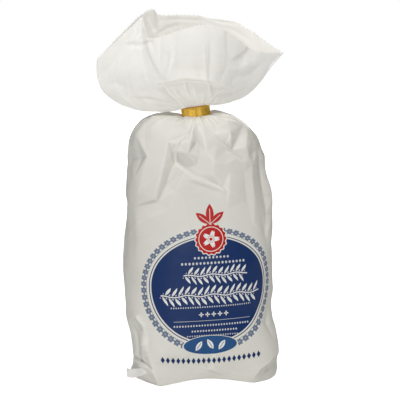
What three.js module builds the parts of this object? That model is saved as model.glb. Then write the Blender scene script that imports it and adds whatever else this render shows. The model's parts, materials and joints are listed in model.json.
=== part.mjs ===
// A stand-up bag of gingerbread pieces: coated white paper on a creased block base, gathered at the neck by a
// flat gold band, with the free paper above the band fanned out as an open crown.
// Millimetres, +Z up. The bag stands on z = 0 and its printed front faces -Y; +X is to the right of the front.
import * as THREE from "three";

// ---- Driving dimensions -------------------------------------------------------------------------------------

const quarterColumns = 20; // vertical lines of the paper in each quarter of the tube, half of them on the side fold
const columns = 4 * quarterColumns; // counted round from the right-hand edge over the back

// The filled body, by height: how far it reaches to the left, the right, the front and the back of the origin.
const bodyStations = [
  { z: 0, left: 54.6, right: 62.6, front: 35, back: 34 },
  { z: 5, left: 57, right: 64.6, front: 36, back: 35 },
  { z: 12, left: 54.8, right: 64.4, front: 36.8, back: 35.8 },
  { z: 34, left: 56, right: 62.4, front: 37.8, back: 36.8 },
  { z: 52, left: 60.5, right: 59.3, front: 38, back: 37 },
  { z: 95, left: 62.4, right: 58.5, front: 37.5, back: 37 },
  { z: 150, left: 58.9, right: 57.1, front: 35.5, back: 35.5 },
  { z: 168, left: 57.9, right: 53.3, front: 34.2, back: 34.4 },
  { z: 185, left: 56, right: 48.3, front: 31.5, back: 32 },
];
const bodyHeights = [8, 13, 22, 34, 46, 58, 80, 110, 140, 165]; // rings between the foot and the shoulders

// The foot is a long hexagon: its side folds run from a tip at each end of the base seal to a corner of the
// front or back. Higher up it becomes a superellipse.
const foot = { cornerX: 37, fadeHeight: 58 };
const bodyPower = { width: 2.7, depth: 2.1 };

// Underside: flat to a share of the foot, then up to an edge that arches between the corners of front and back.
const base = { innerShare: 0.42, flatShare: 0.84, edgeShare: 0.985, edgeLift: 0.2, wallLift: 1.2, arch: 5.2 };

// How the paper sweeps from one ring to another, as the two handles of a curve. A handle's share is of the way
// across from the first ring to the last, and its rise is of the height between them.
const shoulder = {
  start: 185, // height at which the walls begin to close in
  top: 211.8,
  rings: 8,
  sweeps: {
    front: { nearShare: 0, nearRise: 0.55, farShare: 0.45, farRise: 1 },
    back: { nearShare: 0, nearRise: 0.55, farShare: 0.45, farRise: 1 },
    left: { nearShare: 0.03, nearRise: 0.63, farShare: 0.25, farRise: 1.3 },
    right: { nearShare: 0.07, nearRise: 0.33, farShare: 0.32, farRise: 1.18 },
  },
};
const gathers = { count: 11, depth: 0.5 }; // soft pleats of the paper where it runs into the neck

const neck = { x: -3.2, y: 0, z: 215.2, halfWidth: 10.1, halfDepth: 5.4, length: 8.8, tiltDegrees: 7 };

const band = { height: 8, thickness: 0.8, gap: 0.35, overlap: 9, seam: 0.4 };

// The crown's mouth, as the corners of its rim. Each side runs from one end of the mouth to the other.
const mouthRight = [67, 0, 260.3];
const mouthLeft = [-80.5, 0, 258];
const mouthBack = [[46.2, 10.5, 275.6], [32, 17, 284], [4, 24.5, 288], [-14, 23.5, 289.8], [-31, 21, 290.2],
  [-36, 17, 294.6], [-42, 14.5, 293], [-55, 8, 283]];
const mouthFront = [[-62, -6, 276], [-46, -10, 287], [-41, -17, 276.5], [-34, -20, 276], [-16, -27, 281.4],
  [-1, -28, 284.5], [13, -26, 281.5], [38.5, -13, 268]];

const crown = {
  rings: 9,
  liningRings: 7,
  wall: 1.2,
  leastGap: 0.5,
  throat: 0.16,
  sweeps: {
    front: { nearShare: 0.5, nearRise: 0.14, farShare: 1.2, farRise: 0.47 },
    back: { nearShare: 0.5, nearRise: 0.16, farShare: 0.82, farRise: 0.6 },
    left: { nearShare: 0.54, nearRise: -0.3, farShare: 1.15, farRise: 0.2 },
    right: { nearShare: 0.5, nearRise: -0.08, farShare: 0.6, farRise: 0.34 },
  },
};

const paperLook = { color: 0xe2e1dc, roughness: 0.45, metalness: 0 };
const goldLook = { color: 0xc89a3c, roughness: 0.35, metalness: 0.8 };

// ---- Shared arithmetic --------------------------------------------------------------------------------------

const mix = THREE.MathUtils.lerp;
const smooth = THREE.MathUtils.smoothstep;

// Cubic curves through the stations, so that each reach of the body is a smooth function of height.
const reachNames = ["left", "right", "front", "back"];
const reachCurve = new THREE.CubicInterpolant(
  new Float32Array(bodyStations.map((station) => station.z)),
  new Float32Array(bodyStations.flatMap((station) => reachNames.map((name) => station[name]))),
  reachNames.length,
);

function bodyReach(z) {
  const values = reachCurve.evaluate(Math.min(z, shoulder.start));
  return Object.fromEntries(reachNames.map((name, i) => [name, values[i]]));
}

// Points at even distances along a path, both ends included.
function evenPoints(path, count) {
  const reached = [0];
  for (let i = 1; i < path.length; i++) reached.push(reached[i - 1] + path[i].distanceTo(path[i - 1]));
  const points = [];
  let at = 1;
  for (let k = 0; k <= count; k++) {
    const goal = (k / count) * reached[path.length - 1];
    while (at < path.length - 1 && reached[at] < goal) at++;
    const share = (goal - reached[at - 1]) / (reached[at] - reached[at - 1]);
    points.push(path[at - 1].clone().lerp(path[at], share));
  }
  return points;
}

// One quarter of a superellipse, from the end of its width to the end of its depth.
function ovalQuarter(halfWidth, halfDepth, power) {
  const fine = 60;
  const path = Array.from({ length: fine + 1 }, (_, i) => {
    const angle = (i / fine) * (Math.PI / 2);
    return new THREE.Vector2(
      halfWidth * Math.max(Math.cos(angle), 0) ** (2 / power.width),
      halfDepth * Math.sin(angle) ** (2 / power.depth),
    );
  });
  return evenPoints(path, quarterColumns);
}

// One quarter of the foot's hexagon, with its corner on the middle column.
function footQuarter(halfWidth, halfDepth) {
  const corner = new THREE.Vector2(foot.cornerX, halfDepth);
  const half = quarterColumns / 2;
  const fold = evenPoints([new THREE.Vector2(halfWidth, 0), corner], half);
  const face = evenPoints([corner, new THREE.Vector2(0, halfDepth)], half);
  return [...fold, ...face.slice(1)];
}

// A whole ring, counter-clockwise seen from above: right end, back, left end, front.
function wholeRing(reach, quarter) {
  const quarters = [
    { width: reach.right, depth: reach.back, signX: 1, signY: 1, reversed: false },
    { width: reach.left, depth: reach.back, signX: -1, signY: 1, reversed: true },
    { width: reach.left, depth: reach.front, signX: -1, signY: -1, reversed: false },
    { width: reach.right, depth: reach.front, signX: 1, signY: -1, reversed: true },
  ];
  return quarters.flatMap(({ width, depth, signX, signY, reversed }) => {
    const points = quarter(width, depth);
    if (reversed) points.reverse();
    return points.slice(0, quarterColumns).map((p) => new THREE.Vector2(signX * p.x, signY * p.y));
  });
}

// How much a column belongs to the sides (1 at the two ends of a ring) rather than to the front and back.
const columnAngle = (column) => (column / columns) * 2 * Math.PI;
const sideShare = (column) => Math.cos(columnAngle(column)) ** 2;
const isRight = (column) => Math.cos(columnAngle(column)) > 0;
const isBack = (column) => column < columns / 2;

// The curve of one column's paper between two points, with its rises measured between two heights.
function sweptCurve(column, from, to, low, high, sweeps) {
  const broad = isBack(column) ? sweeps.back : sweeps.front;
  const side = isRight(column) ? sweeps.right : sweeps.left;
  const sweep = Object.fromEntries(
    Object.keys(side).map((key) => [key, mix(broad[key], side[key], sideShare(column))]));
  const handle = (share, rise) => new THREE.Vector3(
    mix(from.x, to.x, share), mix(from.y, to.y, share), mix(low, high, rise));
  return new THREE.CubicBezierCurve3(
    from, handle(sweep.nearShare, sweep.nearRise), handle(sweep.farShare, sweep.farRise), to);
}

// ---- The bag, ring by ring ----------------------------------------------------------------------------------

function bodyRing(z) {
  const reach = bodyReach(z);
  const hexagon = wholeRing(reach, footQuarter);
  const oval = wholeRing(reach, (width, depth) => ovalQuarter(width, depth, bodyPower));
  const fade = smooth(z, 0, foot.fadeHeight);
  return hexagon.map((p, column) => new THREE.Vector3(...p.lerp(oval[column], fade).toArray(), z));
}

// 1 in the middle of the front and the back, 0 from their corners to the tips of the foot.
function archShare(column) {
  const fromTip = 1 - Math.abs(1 - (2 * (column % (columns / 2))) / (columns / 2));
  return Math.sin(Math.max(2 * fromTip - 1, 0) * (Math.PI / 2)) ** 2;
}

function baseRings() {
  const outline = bodyRing(0);
  const flat = (share) => outline.map((p) => new THREE.Vector3(p.x * share, p.y * share, 0));
  const edge = outline.map((p, column) => new THREE.Vector3(
    p.x * base.edgeShare, p.y * base.edgeShare, base.edgeLift + base.arch * archShare(column)));
  const wall = bodyRing(base.wallLift).map((p, column) => p.setZ(p.z + base.arch * archShare(column)));
  return [flat(base.innerShare), flat(base.flatShare), edge, wall];
}

// The neck is a short oval column, leaning by the tilt. "along" runs up it from its middle.
const neckFrame = new THREE.Matrix4()
  .makeRotationY(-THREE.MathUtils.degToRad(neck.tiltDegrees))
  .setPosition(neck.x, neck.y, neck.z);

function neckRing(along) {
  const reach = { left: neck.halfWidth, right: neck.halfWidth, front: neck.halfDepth, back: neck.halfDepth };
  const oval = wholeRing(reach, (width, depth) => ovalQuarter(width, depth, { width: 2, depth: 2 }));
  return oval.map((p) => new THREE.Vector3(p.x, p.y, along).applyMatrix4(neckFrame));
}

function shoulderRings() {
  const wall = bodyRing(shoulder.start);
  const neckFoot = neckRing(-neck.length / 2);
  const curves = wall.map((from, column) =>
    sweptCurve(column, from, neckFoot[column], shoulder.start, shoulder.top, shoulder.sweeps));
  return Array.from({ length: shoulder.rings }, (_, k) => curves.map((curve, column) => {
    const share = k / shoulder.rings;
    const pleat = gathers.depth * Math.sin(Math.PI * share) * Math.cos(gathers.count * columnAngle(column));
    return curve.getPoint(share).add(new THREE.Vector3(0, 0, pleat));
  }));
}

// The rim of the crown as one ring, with its two ends on the first and the middle column.
function rimRing() {
  const curve = (points) => new THREE.CatmullRomCurve3(
    points.map((p) => new THREE.Vector3(...p)), false, "centripetal");
  const half = columns / 2;
  const back = curve([mouthRight, ...mouthBack, mouthLeft]).getSpacedPoints(half);
  const front = curve([mouthLeft, ...mouthFront, mouthRight]).getSpacedPoints(half);
  return [...back.slice(0, half), ...front.slice(0, half)];
}

// A point of the crown's outer face: share 0 is at the neck and share 1 at the rim.
function crownRing(share) {
  const rim = rimRing();
  return neckRing(neck.length / 2).map((from, column) =>
    sweptCurve(column, from, rim[column], from.z, rim[column].z, crown.sweeps).getPoint(share));
}

// The crown's inner face lies one wall inside the outer one, measured across the mouth from front to back.
function liningRing(share) {
  const outer = crownRing(share);
  return outer.map((p, column) => {
    const opposite = outer[(columns - column) % columns];
    const middle = p.clone().lerp(opposite, 0.5);
    const arm = p.clone().sub(middle);
    const reach = arm.length();
    if (reach < 1e-6) { // the two ends of the mouth, drawn in towards its middle
      const next = outer[(column + 3) % columns].clone().lerp(outer[(column + columns - 3) % columns], 0.5);
      return next;
    }
    return middle.addScaledVector(arm, Math.max(reach - crown.wall, crown.leastGap * 0.5) / reach);
  });
}

// A closed skin over a list of rings, capped by a point at each end.
function skin(rings, first, last) {
  const positions = [first, ...rings.flat(), last].flatMap((p) => [p.x, p.y, p.z]);
  const faces = [];
  const vertex = (ring, column) => 1 + ring * columns + (column % columns);
  const end = 1 + rings.length * columns;
  for (let column = 0; column < columns; column++) {
    faces.push(0, vertex(0, column + 1), vertex(0, column));
    for (let ring = 0; ring + 1 < rings.length; ring++) {
      const a = vertex(ring, column);
      const b = vertex(ring, column + 1);
      const c = vertex(ring + 1, column + 1);
      const d = vertex(ring + 1, column);
      faces.push(a, b, c, a, c, d);
    }
    faces.push(vertex(rings.length - 1, column), vertex(rings.length - 1, column + 1), end);
  }
  const geometry = new THREE.BufferGeometry();
  geometry.setAttribute("position", new THREE.Float32BufferAttribute(positions, 3));
  geometry.setIndex(faces);
  geometry.computeVertexNormals();
  return geometry;
}

function centreOf(ring) {
  return ring.reduce((sum, p) => sum.add(p), new THREE.Vector3()).divideScalar(ring.length);
}

function bagGeometry() {
  const shares = (from, to, count) =>
    Array.from({ length: count }, (_, k) => mix(from, to, k / (count - 1)));
  const outer = [
    ...baseRings(),
    ...bodyHeights.map(bodyRing),
    ...shoulderRings(),
    neckRing(-neck.length / 2),
    neckRing(neck.length / 2),
    ...shares(0.08, 1, crown.rings).map(crownRing),
  ];
  const lining = shares(1, crown.throat, crown.liningRings).map(liningRing);
  const bottom = centreOf(lining[lining.length - 1]);
  return skin([...outer, ...lining], new THREE.Vector3(0, 0, 0), bottom);
}

// ---- The gold band: a strip wound once round the neck, its ends overlapping at the back --------------------------

function bandGeometry() {
  const steps = 64;
  const inner = [];
  const outer = [];
  const clearWidth = neck.halfWidth + band.gap;
  const clearDepth = neck.halfDepth + band.gap;
  const overlapAngle = band.overlap / clearWidth;
  for (let k = 0; k <= steps; k++) {
    const turn = mix(-overlapAngle / 2, 2 * Math.PI + overlapAngle / 2, k / steps);
    const angle = Math.PI / 2 + turn; // the overlap is centred on the back
    const lift = smooth(turn, Math.PI, 2 * Math.PI - overlapAngle / 2) * (band.thickness + band.seam);
    const radial = (extra) => new THREE.Vector2(
      Math.cos(angle) * (clearWidth + extra), Math.sin(angle) * (clearDepth + extra));
    inner.push(radial(lift));
    outer.push(radial(lift + band.thickness));
  }
  const outline = new THREE.Shape([...outer, ...inner.reverse()]);
  const geometry = new THREE.ExtrudeGeometry(outline, { depth: band.height, bevelEnabled: false });
  return geometry.translate(0, 0, -band.height / 2);
}

// ---- The part -------------------------------------------------------------------------------------------------

const bagMesh = new THREE.Mesh(bagGeometry(), new THREE.MeshStandardMaterial(paperLook));
bagMesh.name = "bag";

const bandMesh = new THREE.Mesh(bandGeometry(), new THREE.MeshStandardMaterial(goldLook));
bandMesh.name = "tie";
bandMesh.applyMatrix4(neckFrame);

const part = new THREE.Group();
part.add(bagMesh, bandMesh);

export default part;
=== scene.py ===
import functools
import json
import math
import bmesh
import bpy
import numpy as np
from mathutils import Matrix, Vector, geometry

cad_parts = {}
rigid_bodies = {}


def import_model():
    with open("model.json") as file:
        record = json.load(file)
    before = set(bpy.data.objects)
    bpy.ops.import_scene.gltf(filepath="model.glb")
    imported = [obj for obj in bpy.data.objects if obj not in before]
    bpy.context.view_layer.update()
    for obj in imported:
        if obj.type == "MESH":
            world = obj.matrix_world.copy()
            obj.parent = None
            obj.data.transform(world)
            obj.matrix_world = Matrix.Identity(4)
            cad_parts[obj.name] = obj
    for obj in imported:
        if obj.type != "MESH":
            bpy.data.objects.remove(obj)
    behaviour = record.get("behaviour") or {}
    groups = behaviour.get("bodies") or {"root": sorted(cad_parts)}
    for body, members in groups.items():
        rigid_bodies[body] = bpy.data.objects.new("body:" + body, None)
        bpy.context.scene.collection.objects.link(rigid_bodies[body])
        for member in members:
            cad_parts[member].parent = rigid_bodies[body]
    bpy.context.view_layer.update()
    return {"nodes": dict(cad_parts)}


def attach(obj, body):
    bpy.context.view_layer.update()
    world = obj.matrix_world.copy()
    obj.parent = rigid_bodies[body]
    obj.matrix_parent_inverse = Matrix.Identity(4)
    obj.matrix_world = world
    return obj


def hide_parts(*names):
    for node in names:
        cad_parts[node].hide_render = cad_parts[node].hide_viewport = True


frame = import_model()
print("frame loaded:", sorted(frame["nodes"]))

mm = 0.001  # shapes are worked out in millimetres and go into the meshes in metres

# the camera stands at the photograph's viewing angle, a little to the bag's left

cameraView = {
    "azimuth": -8.0,  # degrees
    "elevation": 9.0,
    "distance": 1400.0,
    "frameWidth": 320.0,  # what the picture takes in at the target
    "targetHeight": 143.6,
    "photoSize": 400,
}


def viewAxes():
    turn, lift = math.radians(cameraView["azimuth"]), math.radians(cameraView["elevation"])
    back = np.array([math.sin(turn) * math.cos(lift), -math.cos(turn) * math.cos(lift), math.sin(lift)])
    right = np.array([math.cos(turn), math.sin(turn), 0.0])
    return back, right, np.cross(back, right)


def photoPlace(points):
    # where points of the bag fall in the photograph, in its pixels
    back, right, up = viewAxes()
    local = points - np.array([0.0, 0.0, cameraView["targetHeight"]])
    shrink = cameraView["distance"] / (cameraView["distance"] - local @ back)
    pixels = cameraView["photoSize"] / cameraView["frameWidth"]
    middle = cameraView["photoSize"] / 2
    return middle + local @ right * shrink * pixels, middle - local @ up * shrink * pixels


def makeCamera():
    back = viewAxes()[0]
    data = bpy.data.cameras.new("photoCamera")
    data.sensor_fit = "HORIZONTAL"
    data.angle = 2 * math.atan(cameraView["frameWidth"] / 2 / cameraView["distance"])
    data.clip_end = 50
    camera = bpy.data.objects.new("photoCamera", data)
    bpy.context.scene.collection.objects.link(camera)
    target = Vector((0, 0, cameraView["targetHeight"] * mm))
    camera.location = target + Vector(back) * cameraView["distance"] * mm
    camera.rotation_euler = Vector(back).to_track_quat("Z", "Y").to_euler()
    bpy.context.scene.camera = camera


makeCamera()
print("camera placed")

# shared arithmetic


def mixBetween(first, second, share):
    return first + (second - first) * share


def smoothStep(value, low, high):
    share = np.clip((value - low) / (high - low), 0, 1)
    return share * share * (3 - 2 * share)


def windowed(value, low, nearLow, nearHigh, high):
    # 1 between the two inner places, and softly down to 0 at the outer ones
    return smoothStep(value, low, nearLow) * (1 - smoothStep(value, nearHigh, high))


def smoothCurve(at, places, values):
    # a cubic curve through values given at places; its slope at a place is the mean of its two neighbours'
    places, values = np.asarray(places, float), np.asarray(values, float)
    secants = np.diff(values, axis=0) / np.diff(places)[:, None]
    slopes = np.vstack([secants[:1], (secants[1:] + secants[:-1]) / 2, secants[-1:]])
    span = np.clip(np.searchsorted(places, at, side="right") - 1, 0, len(places) - 2)
    step = (places[span + 1] - places[span])[:, None]
    p = (at - places[span])[:, None] / step
    return ((1 + 2 * p) * (1 - p) ** 2 * values[span] + p * (1 - p) ** 2 * step * slopes[span]
            + p * p * (3 - 2 * p) * values[span + 1] + p * p * (p - 1) * step * slopes[span + 1])


def pathLengths(path):
    return np.concatenate([[0], np.cumsum(np.linalg.norm(np.diff(path, axis=0), axis=1))])


def evenPoints(path, count):
    # points at even distances along a path, both ends included
    reached = pathLengths(path)
    goals = np.linspace(0, reached[-1], count + 1)
    return np.stack([np.interp(goals, reached, path[:, k]) for k in range(path.shape[1])], axis=1)


def gridNormals(points):
    # unit normals of a closed tube of points, rows x columns, whose last column repeats the first
    inner = points[:, :-1]
    across = np.roll(inner, -1, axis=1) - np.roll(inner, 1, axis=1)
    up = np.gradient(inner, axis=0)
    normals = np.cross(across, up)
    normals /= np.maximum(np.linalg.norm(normals, axis=2, keepdims=True), 1e-9)
    return np.concatenate([normals, normals[:, :1]], axis=1)


def softened(field):
    # a small blur over a field on the tube, so that creases have a paper's radius
    inner = field[:, :-1]
    inner = 0.5 * inner + 0.25 * (np.roll(inner, 1, axis=1) + np.roll(inner, -1, axis=1))
    above, below = np.vstack([inner[1:], inner[-1:]]), np.vstack([inner[:1], inner[:-1]])
    inner = 0.5 * inner + 0.25 * (above + below)
    return np.hstack([inner, inner[:, :1]])


def foldHeights(across, down, folds):
    # how far a set of folds lifts the paper at each place. A fold has a path of (across, down, rise) and a
    # reach to the left and to the right of someone who walks along it; it is sharp unless it says round
    total = np.zeros(across.shape)
    for path, (left, right), *isRound in folds.values():
        nearest = np.full(across.shape, np.inf)
        rise, side = np.zeros(across.shape), np.zeros(across.shape)
        path = np.array(path, float)
        for start, end in zip(path[:-1], path[1:]):
            along = end - start
            offX, offY = across - start[0], down - start[1]
            t = np.clip((offX * along[0] + offY * along[1]) / (along[0] ** 2 + along[1] ** 2), 0, 1)
            offX, offY = offX - t * along[0], offY - t * along[1]
            distance = np.hypot(offX, offY)
            closer = distance < nearest
            nearest = np.where(closer, distance, nearest)
            rise = np.where(closer, start[2] + t * along[2], rise)
            side = np.where(closer, along[0] * offY - along[1] * offX, side)
        share = np.clip(1 - nearest / np.where(side > 0, right, left), 0, 1)
        total += rise * (share * share * (3 - 2 * share) if isRound else share ** 2)
    return total


def facetHeights(across, up, spots, heights, creases=()):
    # flat facets between scattered points, each point at a height of its own; creases are pairs of points
    # that an edge must join
    corners, _, facets, given, _, _ = geometry.delaunay_2d_cdt([Vector(p) for p in spots], list(creases), [],
                                                               0, 1e-4)
    corners = np.array([(p.x, p.y) for p in corners])
    heights = [heights[owners[0]] if owners else 0.0 for owners in given]
    field = np.zeros(across.shape)
    flatAcross, flatUp, flatField = across.ravel(), up.ravel(), field.ravel()
    order = np.argsort(flatUp)
    sortedUp = flatUp[order]
    for facet in facets:
        (ax, ay), (bx, by), (cx, cy) = corners[list(facet)]
        first, last = np.searchsorted(sortedUp, [min(ay, by, cy), max(ay, by, cy)])
        picked = order[first:last]
        picked = picked[(flatAcross[picked] >= min(ax, bx, cx)) & (flatAcross[picked] <= max(ax, bx, cx))]
        area = (bx - ax) * (cy - ay) - (cx - ax) * (by - ay)
        if abs(area) < 1e-9 or not len(picked):
            continue
        x, y = flatAcross[picked] - ax, flatUp[picked] - ay
        shareB = (x * (cy - ay) - (cx - ax) * y) / area
        shareC = ((bx - ax) * y - x * (by - ay)) / area
        within = (shareB >= -1e-9) & (shareC >= -1e-9) & (shareB + shareC <= 1 + 1e-9)
        a, b, c = (heights[corner] for corner in facet)
        flatField[picked[within]] = (a + shareB * (b - a) + shareC * (c - a))[within]
    return field


def crumpledNet(across, up, width, spacing, depth, seed):
    # creased paper, as a net of chance points that repeats round the tube after one width
    maker = np.random.default_rng(seed)
    low, high = up.min() - spacing, up.max() + spacing
    count = int(width * (high - low) / spacing ** 2)
    spots = np.stack([maker.uniform(0, width, count), maker.uniform(low, high, count)], axis=1)
    heights = maker.uniform(-depth, depth, count)
    spots = np.concatenate([spots + (turn * width, 0) for turn in (-1, 0, 1)])
    heights = np.tile(heights, 3)
    near = (spots[:, 0] > -3 * spacing) & (spots[:, 0] < width + 3 * spacing)
    return facetHeights(across, up, spots[near], heights[near])


def creasedNet(across, up, lines):
    # creased paper, as a net of placed creases: each is a line of points (across, up, height)
    spots = np.array([point for line in lines for point in line], float)
    creases, start = [], 0
    for line in lines:
        creases += [(start + k, start + k + 1) for k in range(len(line) - 1)]
        start += len(line)
    return facetHeights(across, up, spots[:, :2], spots[:, 2], creases)


# the paper tube: its rings run from the middle of the back over the left side, the front and the right side

bagShape = {
    # filled body: height, then reach to the left, the right, the front and the back
    "stations": [
        (0, 54.6, 62.6, 35, 34), (5, 57, 64.6, 36, 35), (12, 54.8, 64.4, 36.8, 35.8),
        (34, 56, 62.4, 37.8, 36.8), (52, 60.5, 59.6, 38, 37), (95, 62.4, 59.6, 37.5, 37),
        (150, 60.0, 57.8, 35.5, 35.5), (168, 57.9, 53.3, 34.2, 34.4), (185, 56, 48.3, 31.5, 32)],
    # the tucked corners of the foot: the crease's distance from the middle at each height, then none
    "tuckLeft": [(0, 37.5), (14, 44), (19, 58)],
    "tuckRight": [(0, 36.5), (15, 52), (22, 66)],
    "tuckBulge": {"tuckLeft": 0.06, "tuckRight": 0.22},
    "footPowers": (5.2, 4.2),  # squarer at the ground
    "footFade": 58,
    "widthPower": 2.7,
    "depthPower": 2.1,
    "flatShare": 0.84,  # part of the underside that lies on the ground
    "edgeShare": 0.985,
    "edgeLift": 0.2,
    "wallLift": 1.2,
    "arch": 5.2,  # the lower edge of the front and the back curves up between the corners
    "shoulderStart": 185,
    "shoulderTop": 211.8,
    "shoulderFace": (0, 0.55, 0.45, 1.0),  # near handle: share inward and rise, far handle: the same
    "shoulderLeft": (0.03, 0.63, 0.25, 1.3),
    "shoulderRight": (0.05, 0.36, 0.32, 1.25),
    "neck": (-3.2, 0, 215.2),
    "neckHalfWidth": 10.1,
    "neckHalfDepth": 5.4,
    "neckLength": 8.8,
    "neckTilt": 7,
}

bodyMesh = {
    "columns": 360,
    "wallStep": 1.0,
    "undersideShares": [0, 0.14, 0.28, 0.42, 0.56, 0.7, 0.78, 0.84, 0.88, 0.92, 0.955, 0.985],
    "shoulderRows": 46,
    "neckRows": 6,
    "plugShares": [0.85, 0.6, 0.3, 0],
}


def ovalQuarter(width, depth, powers, count, tuck=math.inf, bulge=0.0):
    # a quarter of a superellipse, from the end of its width to the end of its depth. A tucked corner cuts
    # it off by a slightly bulging line from the end of the width to the place of the tuck
    angles = np.linspace(0, math.pi / 2, 160)
    x = width * np.clip(np.cos(angles), 0, 1) ** (2 / powers[0])
    y = depth * np.sin(angles) ** (2 / powers[1])
    if tuck < width * 0.995:
        corner = np.array([tuck, np.interp(-tuck, -x, y)])
        share = np.linspace(0, 1, 40)[:, None]
        line = mixBetween(np.array([width, 0.0]), corner, share)
        out = np.array([1, (width - tuck) / corner[1]]) * (width - tuck) * bulge
        line = line + out * np.sin(math.pi * share)
        kept = x < tuck
        x, y = np.concatenate([line[:, 0], x[kept]]), np.concatenate([line[:, 1], y[kept]])
    return evenPoints(np.stack([x, y], axis=1), count)


def wholeRing(left, right, front, back, quarter):
    leftBack = quarter(left, back, "tuckLeft") * (-1, 1)
    leftFront = quarter(left, front, "tuckLeft") * (-1, -1)
    rightFront = quarter(right, front, "tuckRight") * (1, -1)
    rightBack = quarter(right, back, "tuckRight")
    return np.concatenate([leftBack[::-1][:-1], leftFront[:-1], rightFront[::-1][:-1], rightBack])


def bodyRings(heights, columns):
    heights = np.asarray(heights, float)
    stations = np.array(bagShape["stations"], float)
    reach = smoothCurve(np.minimum(heights, bagShape["shoulderStart"]), stations[:, 0], stations[:, 1:])
    rings = []
    for height, sides in zip(heights, reach):
        full = smoothStep(height, 0, bagShape["footFade"])
        powers = mixBetween(np.array(bagShape["footPowers"]),
                            np.array([bagShape["widthPower"], bagShape["depthPower"]]), full)

        def quarter(width, depth, tuckName):
            tuck = np.array(bagShape[tuckName], float)
            place = np.interp(height, tuck[:, 0], tuck[:, 1]) if height < tuck[-1, 0] else math.inf
            return ovalQuarter(width, depth, powers, columns // 4, place, bagShape["tuckBulge"][tuckName])

        flat = wholeRing(*sides, quarter)
        rings.append(np.hstack([flat, np.full((len(flat), 1), height)]))
    return np.array(rings)


def atNeck(across, depth, along):
    # places in the frame of the neck, which leans a little; along runs up it from its middle
    tilt, middle = math.radians(bagShape["neckTilt"]), bagShape["neck"]
    x = across * math.cos(tilt) - along * math.sin(tilt) + middle[0]
    z = across * math.sin(tilt) + along * math.cos(tilt) + middle[2]
    return np.stack([x, np.broadcast_to(depth + middle[1], x.shape), z], axis=2)


def neckRings(alongs, columns, spread=0.0):
    width = bagShape["neckHalfWidth"] + spread
    depth = bagShape["neckHalfDepth"] + spread
    oval = wholeRing(width, width, depth, depth, lambda w, d, _: ovalQuarter(w, d, (2, 2), columns // 4))
    return atNeck(oval[:, 0], oval[:, 1], np.asarray(alongs, float)[:, None] * np.ones(len(oval)))


def columnAngles(columns):
    return math.pi / 2 + np.arange(columns + 1) / columns * 2 * math.pi


def sweepHandles(start, end, low, high, sweep):
    # the two handles of each column's curve from start to end; rises are measured from low to high
    near, far = start.copy(), start.copy()
    for handle, out, rise in ((near, sweep[:, 0], sweep[:, 1]), (far, sweep[:, 2], sweep[:, 3])):
        handle[:, :2] = mixBetween(start[:, :2], end[:, :2], out[:, None])
        handle[:, 2] = mixBetween(low, high, rise)
    return near, far


def sweptColumns(start, near, far, end, rows):
    t = np.linspace(0, 1, 120)[:, None, None]
    fine = (1 - t) ** 3 * start + 3 * t * (1 - t) ** 2 * near + 3 * t * t * (1 - t) * far + t ** 3 * end
    return np.stack([evenPoints(fine[:, c], rows) for c in range(len(start))], axis=1)


def sweepOf(columns, face, back, left, right):
    angles = columnAngles(columns)
    side = np.where((np.cos(angles) > 0)[:, None], right, left)
    broad = np.where((np.sin(angles) > 0)[:, None], back, face)
    return mixBetween(broad, side, (np.cos(angles) ** 2)[:, None])


def shoulderRings(rows, columns):
    # each column of paper bends over from the wall to the neck
    wall = bodyRings([bagShape["shoulderStart"]], columns)[0]
    foot = neckRings([-bagShape["neckLength"] / 2], columns)[0]
    sweep = sweepOf(columns, bagShape["shoulderFace"], bagShape["shoulderFace"], bagShape["shoulderLeft"],
                    bagShape["shoulderRight"])
    near, far = sweepHandles(wall, foot, bagShape["shoulderStart"], bagShape["shoulderTop"], sweep)
    return sweptColumns(wall, near, far, foot, rows)


def bodyBase():
    # the body before any crease, with its place on the flat paper: round from the front's middle, and up
    columns = bodyMesh["columns"]
    column = np.arange(columns + 1)
    fromTip = np.abs(column % (columns // 2) - columns / 4) / (columns / 4)
    archShare = np.sin(np.maximum(2 * fromTip - 1, 0) * math.pi / 2) ** 1.2
    outline = bodyRings([0], columns)[0]
    under = []
    for share in bodyMesh["undersideShares"]:
        ring = outline * (share, share, 0)
        rise = max(share - bagShape["flatShare"], 0) / (bagShape["edgeShare"] - bagShape["flatShare"])
        ring[:, 2] = bagShape["edgeLift"] * rise
        ring[:, 2] += bagShape["arch"] * archShare * share / bagShape["edgeShare"]
        under.append(ring)
    heights = np.arange(bagShape["wallLift"], bagShape["shoulderStart"], bodyMesh["wallStep"])
    wall = bodyRings(heights, columns)
    wall[..., 2] += bagShape["arch"] * archShare * (1 - smoothStep(heights, 2.4, 14))[:, None]
    shoulder = shoulderRings(bodyMesh["shoulderRows"], columns)
    half = bagShape["neckLength"] / 2
    neck = neckRings(np.linspace(-half, half, bodyMesh["neckRows"] + 1)[1:], columns)
    centre = neck[-1, :-1].mean(axis=0)
    plug = np.array([mixBetween(centre - (0, 0, 2.5 * (1 - share)), neck[-1], share)
                     for share in bodyMesh["plugShares"]])
    points = np.concatenate([under, wall, shoulder, neck, plug])
    wallRows = slice(len(under), len(under) + len(wall))
    step = np.linalg.norm(np.diff(points, axis=1), axis=2)
    reached = np.hstack([np.zeros((len(points), 1)), np.cumsum(step, axis=1)])
    around = reached - reached[:, columns // 2:columns // 2 + 1]
    around[wallRows.stop:] = around[wallRows.stop - 1]
    around[:wallRows.start] = around[wallRows.start]
    rowStep = np.linalg.norm(np.diff(points, axis=0), axis=2).mean(axis=1)
    up = np.concatenate([[0], np.cumsum(rowStep)])
    up += heights[0] - up[wallRows.start]
    up[wallRows] = heights
    return points, around, np.repeat(up[:, None], columns + 1, axis=1), wallRows


# creases and dents of the front, at their pixels in the photograph; rises are millimetres

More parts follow.
